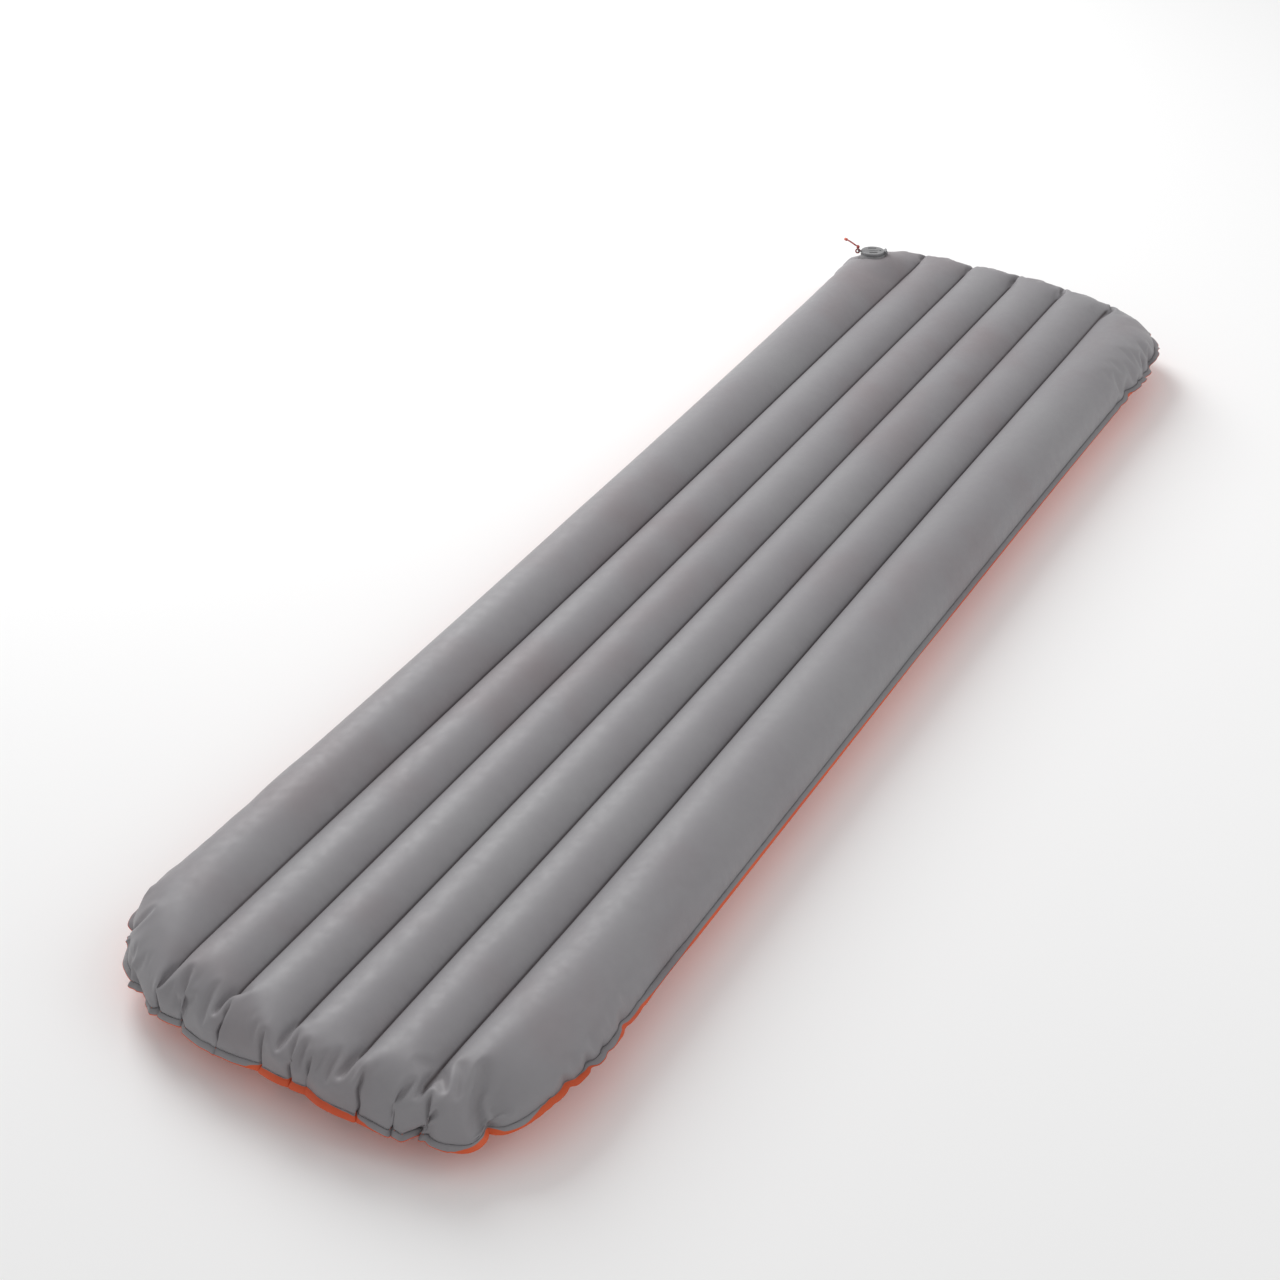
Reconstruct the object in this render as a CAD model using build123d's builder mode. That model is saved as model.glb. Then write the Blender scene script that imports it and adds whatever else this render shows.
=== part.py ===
from build123d import *
from math import cos, hypot, radians, sin, sqrt, tan
import os

# Inflatable sleeping pad with six lengthwise air chambers, and a flat valve near one corner.
# X is the width, Y the length with the valve at +Y, Z up. The origin is on the ground, under
# the middle of the pad. Millimetres.

# --- Driving dimensions of the pad --------------------------------------------------------
chamber_pitch = 74.8      # between baffles, across the four inner chambers
baffle_height = 45.5      # from the lower valley to the upper one
seam_x = 246.9            # half width at the weld, where the outer rails end
seam_y = 907.9            # half length at the weld
flange_width = 7.1        # flat welded margin outside the seam
corner_radius = 130.0     # of the weld line, in plan
end_taper = 140.0         # length over which each end rounds down to the weld
baffle_half_length = 857.0
sheet_t = 1.0             # fabric and film, drawn thick
glue_gap = 0.1            # bond line between the baffles and the sheets
weld_tab = 6.0            # half width of a baffle's weld tab
seam_wall = 0.4           # short upright stretch of the sheet at the weld

# --- Driving dimensions of the valve ------------------------------------------------------
valve_x = -208.5
valve_y = 813.5
valve_rise = 49.2         # foot of the valve above the weld plane
valve_tilt = 7.5          # the valve leans with the sheet, away from the pad's middle
valve_lean = 121.0        # direction of that lean, from +X towards +Y
collar_r = 14.0           # collar through the top sheet
collar_depth = 8.5
seat_r = 12.0             # hole that the deflate plug closes
lid_r = 18.0
lid_t = 2.4
lid_gap = 0.2             # between the stacked lids
port_r = 5.5              # inflation port, which a pump nozzle enters
running = 0.05            # radial clearance of a pin in a knuckle
cord_r = 1.2

# --- Worked out from those ----------------------------------------------------------------
baffles_x = [i * chamber_pitch for i in (-2, -1, 0, 1, 2)]
chambers_x = [(i + 0.5) * chamber_pitch for i in (-2, -1, 0, 1)]
half_baffle = baffle_height / 2
inner_r = hypot(chamber_pitch / 2, half_baffle)
rail_width = seam_x - baffles_x[-1]
rail_r = (rail_width**2 + half_baffle**2) / (2 * rail_width)
seam_z = rail_r
# The rail's inner side is a slightly larger arc, so that the rail rests on a flat strip.
strip_r = rail_r + 0.8
strip_x = baffles_x[-1] + sqrt(strip_r**2 - half_baffle**2)

tilt = radians(valve_tilt)
lean = radians(valve_lean)
valve_plane = Plane(
    origin=(valve_x, valve_y, seam_z + valve_rise),
    x_dir=(sin(lean), -cos(lean), 0),
    z_dir=(sin(tilt) * cos(lean), sin(tilt) * sin(lean), cos(tilt)),
)
valve_axis = Axis(valve_plane.origin, valve_plane.z_dir)
# Half sections of the valve are drawn on this plane: x out from the axis, y up from the foot.
valve_half = Plane(valve_plane.origin, x_dir=valve_plane.x_dir, z_dir=-valve_plane.y_dir)

# Heights in the valve, from its foot upward.
rim_top = 0.8
plug_low = rim_top + lid_gap
plug_top = plug_low + lid_t
cap_low = plug_top + lid_gap
cap_top = cap_low + lid_t

os.makedirs("parts", exist_ok=True)


def save(piece, name):
    piece.part.label = name
    export_step(piece.part, f"parts/{name}.step")


# ==========================================================================================
# Air envelope
# ==========================================================================================


def chamber_section(inset):
    """Cross section of the six air chambers, inset from the outside of the fabric."""
    with BuildSketch(Plane.XZ) as section:
        with Locations(*[(x, seam_z) for x in chambers_x]):
            Circle(inner_r - inset)
        with Locations((-strip_x, seam_z), (strip_x, seam_z)):
            Circle(strip_r - inset)
        with Locations((-strip_x - strip_r, seam_z), (strip_x + strip_r, seam_z)):
            Rectangle(2 * strip_r, 4 * strip_r)
    return section.sketch


def end_section(inset):
    """Side view of the inflated shape: level along the middle, an ellipse down to each end."""
    reach = seam_y - seam_wall - end_taper
    with BuildSketch(Plane.YZ) as section:
        with Locations((-reach, seam_z), (reach, seam_z)):
            Ellipse(end_taper - inset, rail_r - inset)
        with Locations((0, seam_z)):
            Rectangle(2 * reach, 4 * rail_r)
    return section.sketch


def half_form(inset):
    """Upper half of the inflated shape, above the weld plane, inset from the outside."""
    with BuildPart() as form:
        with BuildSketch(Plane.XY.offset(seam_z)):
            RectangleRounded(2 * (seam_x - inset), 2 * (seam_y - inset), corner_radius - inset)
        extrude(amount=rail_r - inset)
        fillet(form.faces().sort_by(Axis.Z)[-1].edges(), rail_r - seam_wall - inset)
        extrude(end_section(inset), amount=2 * seam_x, both=True, mode=Mode.INTERSECT)
        extrude(chamber_section(inset), amount=2 * seam_y, both=True, mode=Mode.INTERSECT)
    return form.part


outer_form = half_form(0)
inner_form = half_form(sheet_t)
above_sheet = half_form(-running)
disc_outside = half_form(sheet_t + glue_gap)
disc_inside = half_form(2 * sheet_t + glue_gap)


def add_sheet():
    """Half of the envelope: the puffed sheet with its margin of the weld flange."""
    add(outer_form)
    with BuildSketch(Plane.XY.offset(seam_z)) as margin:
        RectangleRounded(
            2 * (seam_x + flange_width), 2 * (seam_y + flange_width), corner_radius + flange_width
        )
    extrude(margin.sketch, amount=sheet_t)
    add(inner_form, mode=Mode.SUBTRACT)


# --- Top sheet, with the hole that the valve's collar passes through ----------------------
with BuildPart() as top_sheet:
    add_sheet()
    with BuildSketch(valve_plane.offset(-rail_r / 2)):
        Circle(collar_r + lid_gap)
    extrude(amount=rail_r, mode=Mode.SUBTRACT)
save(top_sheet, "top_sheet")

# --- Bottom sheet, the mirror image, which rests on the two rails' flat strips ------------
with BuildPart() as bottom_sheet:
    add_sheet()
    mirror(about=Plane.XY.offset(seam_z), mode=Mode.REPLACE)
save(bottom_sheet, "bottom_sheet")

# --- Baffles: upright webs with a weld tab along the top and the bottom -------------------
tab_outside = chamber_section(sheet_t + glue_gap)
tab_inside = chamber_section(2 * sheet_t + glue_gap)
for number, x in enumerate(baffles_x, start=1):
    with BuildPart() as baffle:
        with BuildSketch(Plane.XZ):
            add(tab_outside)
            add(tab_inside, mode=Mode.SUBTRACT)
            with Locations((x, seam_z)):
                Rectangle(2 * weld_tab, 2 * baffle_height, mode=Mode.INTERSECT)
                Rectangle(sheet_t, baffle_height - 6 * sheet_t)
        extrude(amount=baffle_half_length, both=True)
    save(baffle, f"baffle_{number}")

# ==========================================================================================
# Valve
# ==========================================================================================

# Both hinges are alike: two ears on the part that stays, and one knuckle between them.
hinge_out = 20.4          # hinge axis, out from the valve's axis
knuckle_r = 1.9
pin_r = 0.8
pin_fit = 0.01
knuckle_half = 4.5        # half length of a knuckle, along the pin
ear_t = 1.8
ear_gap = 0.2
ear_end = knuckle_half + ear_gap + ear_t
plug_hinge_z = 2.2        # the plug turns on an axis at the valve's y side
cap_hinge_z = 4.8         # the cap turns on an axis at its x side


def hinge_plane(side, start):
    """Plane across a hinge at a place along its pin: x outward, y up from the valve's foot."""
    out = valve_plane.x_dir if side == "x" else valve_plane.y_dir
    along = out.cross(valve_plane.z_dir)
    return Plane(valve_plane.origin + along * start, x_dir=out, z_dir=along)


def bore_hinge(side, height, radius):
    """Hole for the pin, right along the hinge."""
    with BuildSketch(hinge_plane(side, -ear_end)) as hole:
        with Locations((hinge_out, height)):
            Circle(radius)
    extrude(hole.sketch, amount=2 * ear_end, mode=Mode.SUBTRACT)


def add_knuckle(side, height, low, high):
    """Barrel between the ears, with a leaf back to its own lid."""
    with BuildSketch(hinge_plane(side, -knuckle_half)) as outline:
        with Locations((hinge_out, height)):
            Circle(knuckle_r)
        with Locations((lid_r - 1, (low + high) / 2)):
            Rectangle(2 * (hinge_out - lid_r + 1), high - low)
    extrude(outline.sketch, amount=2 * knuckle_half)
    bore_hinge(side, height, pin_r + running)


def add_ears(side, height, low, high):
    """Pair of ears outside the knuckle, on feet that run back under it to the rim."""
    for start in (-ear_end, knuckle_half + ear_gap):
        with BuildSketch(hinge_plane(side, start)) as outline:
            with Locations((hinge_out, height)):
                Circle(knuckle_r)
            with Locations((hinge_out, (low + height) / 2)):
                Rectangle(2 * knuckle_r, height - low)
            with Locations((lid_r, (low + high) / 2)):
                Rectangle(2 * (hinge_out - lid_r), high - low)
        extrude(outline.sketch, amount=ear_t)
    bore_hinge(side, height, pin_r + pin_fit)


def ring(inner, outer, low, high, mode=Mode.ADD):
    """Round wall about the valve's axis, between two heights."""
    with BuildSketch(valve_plane.offset(low)) as wall:
        Circle(outer)
        if inner > 0:
            Circle(inner, mode=Mode.SUBTRACT)
    extrude(wall.sketch, amount=high - low, mode=mode)


# --- Weld disc, bonded under the top sheet round the collar -------------------------------
weld_disc_r = 26.0
with BuildPart() as valve_flange:
    ring(collar_r + running, weld_disc_r, -rail_r / 2, rail_r / 2)
    add(disc_outside, mode=Mode.INTERSECT)
    add(disc_inside, mode=Mode.SUBTRACT)
save(valve_flange, "valve_flange")

# --- Body: a rim saddled on the sheet, ears for the plug, and the collar through the sheet -
with BuildPart() as valve_body:
    ring(seat_r, lid_r + 0.5, -collar_depth, rim_top)
    add_ears("y", plug_hinge_z, -2.0, rim_top)
    add(above_sheet, mode=Mode.SUBTRACT)
    ring(seat_r, collar_r, -collar_depth, rim_top)
save(valve_body, "valve_body")

# --- Deflate plug: inner lid with a tapered stopper, the air port and the cap's ears ------
stopper_depth = 5.0
chamber_r = 8.5           # hollow under the port, where the diaphragm works
chamber_top = 0.4
seal_low, seal_high = -0.5, 0.9
cap_seal_r = 8.2
with BuildPart() as deflate_plug:
    with BuildSketch(valve_half):
        with BuildLine():
            Polyline(
                (port_r, plug_top), (port_r, chamber_top), (chamber_r, chamber_top),
                (chamber_r, -stopper_depth), (seat_r - 1.0, -stopper_depth),
                (seat_r - 0.2, plug_low), (lid_r, plug_low), (lid_r, plug_top), close=True,
            )
        make_face()
    revolve(axis=valve_axis)
    ring(seat_r - 1.65, seat_r, seal_low, seal_high, mode=Mode.SUBTRACT)
    ring(cap_seal_r - 0.8, cap_seal_r + 0.8, plug_top - 1.2, plug_top, mode=Mode.SUBTRACT)
    add_ears("x", cap_hinge_z, plug_low, plug_top)
    add_knuckle("y", plug_hinge_z, plug_low, plug_top)
save(deflate_plug, "deflate_plug")

# --- Inflate cap: outer lid with finger slots, a grip ridge, a dimple and the pull tab -----
slot_out = 10.0
tab_low, tab_high = 4.2, 5.8
eye_out = 20.4            # eye in the pull tab, on the side away from the hinge
eye_r = 1.6
tab_r = 3.2
with BuildPart() as inflate_cap:
    ring(0, lid_r, cap_low, cap_top)
    chamfer(inflate_cap.faces().sort_by(valve_axis)[-1].edges(), 0.5)
    with BuildSketch(valve_plane.offset(cap_top)):
        SlotOverall(15, 4.4)
    extrude(amount=0.6)
    fillet(inflate_cap.faces().sort_by(valve_axis)[-1].edges(), 0.4)
    with BuildSketch(valve_plane.offset(cap_top)):
        with Locations((0, slot_out), (0, -slot_out)):
            SlotOverall(13, 3.4)
        with Locations((lid_r - 6.5, 0)):
            Circle(1.5)
    extrude(amount=-1.5, mode=Mode.SUBTRACT)
    with BuildSketch(valve_plane.offset(tab_low)):
        with Locations((-eye_out, 0)):
            Circle(tab_r)
        with Locations((-eye_out + tab_r, 0)):
            Rectangle(2 * tab_r, 2 * tab_r)
    extrude(amount=tab_high - tab_low)
    with BuildSketch(valve_plane.offset(tab_low)):
        with Locations((-eye_out, 0)):
            Circle(eye_r)
    extrude(amount=tab_high - tab_low, mode=Mode.SUBTRACT)
    add_knuckle("x", cap_hinge_z, cap_low, cap_top)
save(inflate_cap, "inflate_cap")

# --- Hinge pins ---------------------------------------------------------------------------
for name, side, height in (
    ("plug_hinge_pin", "y", plug_hinge_z), ("cap_hinge_pin", "x", cap_hinge_z)
):
    with BuildPart() as pin:
        with BuildSketch(hinge_plane(side, -ear_end)):
            with Locations((hinge_out, height)):
                Circle(pin_r)
        extrude(amount=2 * ear_end)
    save(pin, name)

# --- Seal rings: one round the stopper, one round the port --------------------------------
for name, radius, height, thick in (
    ("plug_seal", seat_r - 0.9, (seal_low + seal_high) / 2, 0.65),
    ("cap_seal", cap_seal_r, plug_top - 0.55, 0.63),
):
    with BuildPart() as seal:
        with BuildSketch(valve_half):
            with Locations((radius, height)):
                Circle(thick)
        revolve(axis=valve_axis)
    save(seal, name)

# --- One-way valve: a spider in the stopper guides the diaphragm's stud --------------------
spider_top = -3.0
spider_t = 1.4
hub_r = 2.2
stud_r = 0.9
stud_running = 0.2
diaphragm_t = 0.6
diaphragm_top = chamber_top - 0.15
barb_low = -6.4
with BuildPart() as valve_spider:
    ring(chamber_r - 1.1, chamber_r - running, spider_top - spider_t, spider_top)
    with BuildSketch(valve_plane.offset(spider_top - spider_t)):
        Circle(hub_r)
        with PolarLocations(chamber_r / 2, 3):
            Rectangle(chamber_r - 1, 1.6)
        Circle(stud_r + stud_running, mode=Mode.SUBTRACT)
    extrude(amount=spider_t)
save(valve_spider, "valve_spider")

with BuildPart() as check_diaphragm:
    ring(0, chamber_r - 0.9, diaphragm_top - diaphragm_t, diaphragm_top)
save(check_diaphragm, "check_diaphragm")

with BuildPart() as diaphragm_stud:
    stud_top = diaphragm_top - diaphragm_t
    with BuildSketch(valve_half):
        with BuildLine():
            Polyline(
                (0, stud_top), (stud_r, stud_top), (stud_r, barb_low + 0.9),
                (1.6, barb_low + 0.9), (0.7, barb_low), (0, barb_low), close=True,
            )
        make_face()
    revolve(axis=valve_axis)
save(diaphragm_stud, "diaphragm_stud")

# ==========================================================================================
# Pull cord on the cap's tab
# ==========================================================================================

# --- Loop through the eye in the cap's tab, and the knot that closes it --------------------
loop_r = 3.0
loop_cord_r = 1.1
loop_z = (tab_low + tab_high) / 2
loop_x = -(eye_out + loop_r)
knot_r = 2.6
knot_half = 4.6
knot_z = loop_z + loop_r + loop_cord_r + knot_r + running

with BuildPart() as pull_cord_loop:
    with BuildSketch(valve_plane.offset(loop_z)):
        with Locations((-eye_out, 0)):
            Circle(loop_cord_r)
    loop_centre = valve_plane.from_local_coords(Vector(loop_x, 0, loop_z))
    revolve(axis=Axis(loop_centre, valve_plane.y_dir))
save(pull_cord_loop, "pull_cord_loop")

knot_plane = Plane(
    valve_plane.from_local_coords(Vector(loop_x, 0, knot_z)),
    x_dir=valve_plane.y_dir,
    z_dir=valve_plane.x_dir,
)
with BuildPart() as pull_cord_knot:
    with BuildSketch(knot_plane):
        Ellipse(knot_half, knot_r)
        Rectangle(
            4 * knot_half, 2 * knot_r, align=(Align.CENTER, Align.MAX), mode=Mode.SUBTRACT
        )
    revolve(axis=Axis(knot_plane.origin, valve_plane.y_dir))
save(pull_cord_knot, "pull_cord_knot")

# --- Free strand: from the knot it leans out over the pad's edge and droops a little ------
# Seen from the valve: x towards the cap's hinge, y towards the plug's hinge, z up.
cord_route = [
    valve_plane.from_local_coords(Vector(*point))
    for point in [
        (loop_x - 2.8, 1.3, knot_z + 1.5),
        (-29.8, 5.2, 14.6),
        (-33.4, 11.4, 15.4),
        (-37.2, 20.0, 15.2),
        (-40.2, 29.6, 13.5),
    ]
]


def bend_radii(route):
    """Largest tangent arcs: 0.45 of the shorter run over the tangent of half the turn."""
    radii = []
    for before, here, after in zip(route, route[1:], route[2:]):
        run_in, run_out = here - before, after - here
        half_turn = radians(run_in.get_angle(run_out)) / 2
        radii.append(0.45 * min(run_in.length, run_out.length) / tan(half_turn))
    return radii


cord_bends = bend_radii(cord_route)
with BuildPart() as pull_cord:
    with BuildLine() as cord_line:
        FilletPolyline(*cord_route, radius=cord_bends)
    with BuildSketch(Plane(cord_line.line @ 0, z_dir=cord_line.line % 0)):
        Circle(cord_r)
    sweep()
save(pull_cord, "pull_cord")

# --- Moulded sleeve closed over the strand's tip ------------------------------------------
sleeve_r = 2.2
sleeve_length = 5.0
sleeve_end = 1.2
tip_plane = Plane(cord_line.line @ 1, z_dir=cord_line.line % 1)
with BuildPart() as pull_cord_end:
    with BuildSketch(tip_plane.offset(-sleeve_length)):
        Circle(sleeve_r)
    extrude(amount=sleeve_length + sleeve_end)
    fillet(pull_cord_end.edges().filter_by(GeomType.CIRCLE), 0.6)
    with BuildSketch(tip_plane):
        Circle(cord_r)
    extrude(amount=-2 * sleeve_length, mode=Mode.SUBTRACT)
save(pull_cord_end, "pull_cord_end")

print("cord route", [tuple(round(c, 2) for c in point) for point in cord_route])
print("cord bend radii", [round(radius, 1) for radius in cord_bends])
print("cord length", round(sum(edge.length for edge in cord_line.edges()), 2))
print("rail radius", round(rail_r, 2), "inner radius", round(inner_r, 2))
print("valve origin", valve_plane.origin, "x", valve_plane.x_dir, "y", valve_plane.y_dir)
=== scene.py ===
from math import cos, radians, sin

import bpy
import numpy as np
from mathutils import Matrix, Vector
from mathutils.bvhtree import BVHTree


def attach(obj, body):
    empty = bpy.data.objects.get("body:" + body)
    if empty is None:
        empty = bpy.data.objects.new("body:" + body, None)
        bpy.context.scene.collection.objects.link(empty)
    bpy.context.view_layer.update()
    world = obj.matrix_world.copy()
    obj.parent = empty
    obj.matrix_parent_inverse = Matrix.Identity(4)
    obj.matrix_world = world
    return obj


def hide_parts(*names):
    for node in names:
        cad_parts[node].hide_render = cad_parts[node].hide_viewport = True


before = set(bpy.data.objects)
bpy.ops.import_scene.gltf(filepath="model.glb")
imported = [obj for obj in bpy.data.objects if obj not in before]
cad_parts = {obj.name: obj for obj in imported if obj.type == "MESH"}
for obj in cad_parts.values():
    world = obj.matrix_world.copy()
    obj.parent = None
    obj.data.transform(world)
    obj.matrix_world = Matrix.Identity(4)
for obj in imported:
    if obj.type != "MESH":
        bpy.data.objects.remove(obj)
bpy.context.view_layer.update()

# ------------------------------------------------------------------------------------------
# Dimensions, in metres, the same as the CAD's
# ------------------------------------------------------------------------------------------
PITCH = 0.0748            # from valley to valley
HALF_BAFFLE = 0.02275     # from the pad's mid plane up to a valley
SEAM_X = 0.2469           # from the middle line out to the weld
RAIL_W = SEAM_X - 2 * PITCH
RAIL_R = (RAIL_W**2 + HALF_BAFFLE**2) / (2 * RAIL_W)
SEAM_Z = RAIL_R           # the pad lies on its rails
FLANGE = 0.0071           # width of the welded margin

# ------------------------------------------------------------------------------------------
# Cut pattern of each sheet, in metres
# ------------------------------------------------------------------------------------------
INNER_ARC = 0.0897        # width of cloth over one inner chamber
RAIL_ARC = 0.1374         # and over a side rail
PANEL = 2 * INNER_ARC     # from the middle line out to the last baffle line
HALF_LENGTH = 0.934
END_BOW = 0.012           # the ends are cut on a slight curve
# Lengths of the elliptical corners: left and right at the near end, then at the valve's end
CORNERS = {-1: (0.150, 0.215), 1: (0.115, 0.185)}
HELD_TO = 0.866           # the baffles stop short of the ends

# Grid of mass points on it
N_IN = 30                 # columns over one inner chamber
N_RAIL = 42               # columns over a rail, and rows in a corner
ROW_STEP = 0.0052         # the rows' spacing next to the corners
ROW_FINE = 0.06           # how far it lasts, before it widens towards the middle
ROW_GROWTH = 1.15
ROW_WIDEST = 0.045
LINES = [N_RAIL + k * N_IN for k in range(5)]    # the columns on the baffle lines

# Shape that the inflation starts from
ROUND_DOWN = 0.1          # distance from the weld within which the pad comes down to it
END_PULL = 0.012          # the ends come in as the chambers fill
JITTER = 1e-4             # breaks the symmetry that would keep the cloth from folding
JITTER_SEED = 3

# Pleats as first pressed in
PLEAT_WIDTH = 0.0042
PLEAT_PULL = 0.010
PLEAT_DEPTH = 0.016
PLEAT_RAMP = 0.02         # less than the full depth under this height
PLEAT_OUTSIDE = 0.02      # how far the pull goes on outside the weld
PLEAT_AIM = 0.75          # they point at the middle line, this far along the pad

# Cloth gathered in a pleat: pairs of points across it
FOLD_STEP = 0.004
FOLD_HALVES = (0.003, 0.006)
FOLD_STIFF = 0.4

# Inflation
EDGE_STIFF = 0.5
DIAGONAL_STIFF = 0.25
BEND_STIFF = 0.02
AIR = 1.1e-5              # what the pressure moves a point by, in one step
DAMPING = 0.95
STEPS = 320
ITERATIONS = 10
HIGHEST = RAIL_R + 0.0003
TINY = 1e-7
F4 = np.float32


def row_stations(start):
    """Distances from the pad's middle to the rows of the straight part, which ends at start."""
    at, step = [start], ROW_STEP
    while at[-1] > 0:
        if at[-1] < start - ROW_FINE:
            step = min(step * ROW_GROWTH, ROW_WIDEST)
        at.append(at[-1] - step)
    at = np.array(at)
    return (at - at[0]) * (start / (at[0] - at[-1])) + at[0]


def corner_patch(t, corner, end):
    """Grid of a right-hand corner, between its two straight sides and the halves of its ellipse."""
    base = end - corner
    a = t * np.pi / 4
    top = np.stack([PANEL + RAIL_ARC * np.sin(a), base + corner * np.cos(a)], -1)
    b = np.pi / 2 - a[::-1]
    out = np.stack([PANEL + RAIL_ARC * np.sin(b), base + corner * np.cos(b)], -1)
    inner = np.stack([np.full_like(t, PANEL), end - corner * t], -1)
    low = np.stack([PANEL + RAIL_ARC * t, np.full_like(t, base)], -1)
    s, r = t[None, :, None], t[:, None, None]
    patch = (1 - r) * top + r * low + (1 - s) * inner[:, None] + s * out[:, None]
    patch -= (1 - s) * (1 - r) * top[0] + s * (1 - r) * top[-1]
    patch -= (1 - s) * r * low[0] + s * r * low[-1]
    return patch


def half_pattern(corners):
    """Rows from one end to the middle, with the end at positive v."""
    t = np.linspace(0, 1, N_RAIL + 1)
    end = HALF_LENGTH - END_BOW
    longest = max(corners)
    stations = row_stations(end - longest)
    left, right = LINES[0], LINES[-1]
    rows = N_RAIL + len(stations)
    half = np.zeros((rows, right + N_RAIL + 1, 2))
    edge_v = []
    for corner in corners:
        scaled = stations * (end - corner) / (end - longest)
        edge_v.append(np.concatenate([end - corner * t, scaled[1:]]))
    u = np.linspace(-PANEL, PANEL, right - left + 1)
    across = (u + PANEL) / (2 * PANEL)
    half[:, left:right + 1, 0] = u
    half[:, left:right + 1, 1] = edge_v[0][:, None] * (1 - across) + edge_v[1][:, None] * across
    bow = END_BOW * (1 - (u / PANEL) ** 2)
    half[:N_RAIL + 1, left:right + 1, 1] += (1 - t)[:, None] * bow
    for side, corner, v in zip((-1, 1), corners, edge_v):
        block = np.zeros((rows, N_RAIL + 1, 2))
        block[:N_RAIL + 1] = corner_patch(t, corner, end)
        block[N_RAIL + 1:, :, 0] = PANEL + RAIL_ARC * t
        block[N_RAIL + 1:, :, 1] = v[N_RAIL + 1:, None]
        if side > 0:
            half[:, right:] = block
        else:
            half[:, :left + 1] = block[:, ::-1] * [-1, 1]
    return half


def pattern():
    """Place of each mass point on the flat cut sheet, in rows from the far end to the near."""
    far, near = half_pattern(CORNERS[1]), half_pattern(CORNERS[-1])
    return np.concatenate([far, near[-2::-1] * [1, -1]])


def ring_order(rows, cols):
    """Row and column of each point of the weld line, going round."""
    down, over = np.arange(rows - 1), np.arange(cols - 1)
    r = np.concatenate([0 * over, down, 0 * over + rows - 1, rows - 1 - down])
    c = np.concatenate([over, 0 * down + cols - 1, cols - 1 - over, 0 * down])
    return r, c


def start_shape(cut):
    """The inflated cross section all along the pad, rounded down to the weld at its edge, and
    each point's distance from the weld."""
    u, v = cut[..., 0], cut[..., 1]
    a = np.abs(u)
    r = np.hypot(PITCH / 2, HALF_BAFFLE)
    chamber = np.clip(np.floor((u + PANEL) / INNER_ARC), 0, 3)
    off = u - (chamber + 0.5) * INNER_ARC + PANEL
    angle = off / (INNER_ARC / 2) * np.arcsin(PITCH / 2 / r)
    x, z = (chamber - 1.5) * PITCH + r * np.sin(angle), r * np.cos(angle)
    centre = SEAM_X - RAIL_R
    valley = np.arctan2(HALF_BAFFLE, 2 * PITCH - centre)
    angle = valley * (1 - np.clip((a - PANEL) / RAIL_ARC, 0, 1))
    rail = a > PANEL
    x = np.where(rail, np.sign(u) * (centre + RAIL_R * np.cos(angle)), x)
    z = np.where(rail, RAIL_R * np.sin(angle), z)
    left, right = (np.where(v < 0, CORNERS[-1][side], CORNERS[1][side]) for side in (0, 1))
    corner = np.where(u < 0, left, right)
    cu = np.maximum(a - PANEL, 0) / RAIL_ARC
    cv = np.maximum(np.abs(v) - (HALF_LENGTH - END_BOW - corner), 0) / corner
    end = HALF_LENGTH - END_BOW * np.minimum(a / PANEL, 1) ** 2
    inset = np.minimum(end - np.abs(v), PANEL + RAIL_ARC - a)
    inset = np.maximum(np.where(rail, (1 - np.hypot(cu, cv)) * RAIL_ARC, inset), 0)
    dome = np.sqrt(np.clip(1 - (1 - np.minimum(inset / ROUND_DOWN, 1)) ** 2, 0, 1))
    crown = np.where(rail, RAIL_R, r) * dome
    z = np.where(np.abs(v) > HALF_LENGTH - ROUND_DOWN, np.minimum(z, crown), z)
    pulled = END_PULL * np.clip((np.abs(v) - HALF_LENGTH + ROUND_DOWN) / ROUND_DOWN, 0, 1) ** 2
    return np.stack([x, np.sign(v) * (np.abs(v) - pulled), z], -1), inset


# Pleats that the spare cloth of the weld is folded into: place in plan and length in mm, and
# the share of the cloth's width that is left across the fold. Those with a share of 1 are only
# pressed in at the start.
NEAR_PLEATS = [
    (-248, -815, 24, 0.7), (-230, -857, 30, 0.55), (-197, -879, 24, 0.55),
    (-153, -889, 36, 0.35), (-125, -899, 42, 0.3), (-71, -911, 52, 0.3), (-17, -914, 40, 0.35),
    (13, -915, 46, 0.35), (40, -911, 36, 0.4), (95, -907, 48, 0.3), (136, -899, 46, 0.35),
    (160, -889, 50, 0.4), (222, -865, 40, 0.75), (246, -815, 28, 1), (252, -775, 36, 1),
]
FAR_PLEATS = [
    (-248, 800, 20, 1), (-236, 850, 26, 1), (-208, 874, 20, 1), (-186, 886, 26, 1),
    (-150, 898, 30, 0.35), (-112, 906, 16, 0.6), (-75, 910, 30, 0.35), (-38, 912, 16, 0.6),
    (0, 913, 30, 0.35), (36, 911, 16, 0.6), (76, 908, 30, 0.35), (112, 903, 16, 0.6),
    (151, 893, 30, 0.35), (190, 878, 22, 1), (222, 855, 26, 1), (241, 828, 22, 1),
    (249, 795, 26, 1), (251, 762, 20, 1),
]
PLEATS = NEAR_PLEATS + FAR_PLEATS


def nearest_on_weld(weld, px, py):
    """Index of the weld point nearest to a place in mm."""
    return np.argmin(np.hypot(weld[:, 0] - px / 1000, weld[:, 1] - py / 1000))


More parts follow.
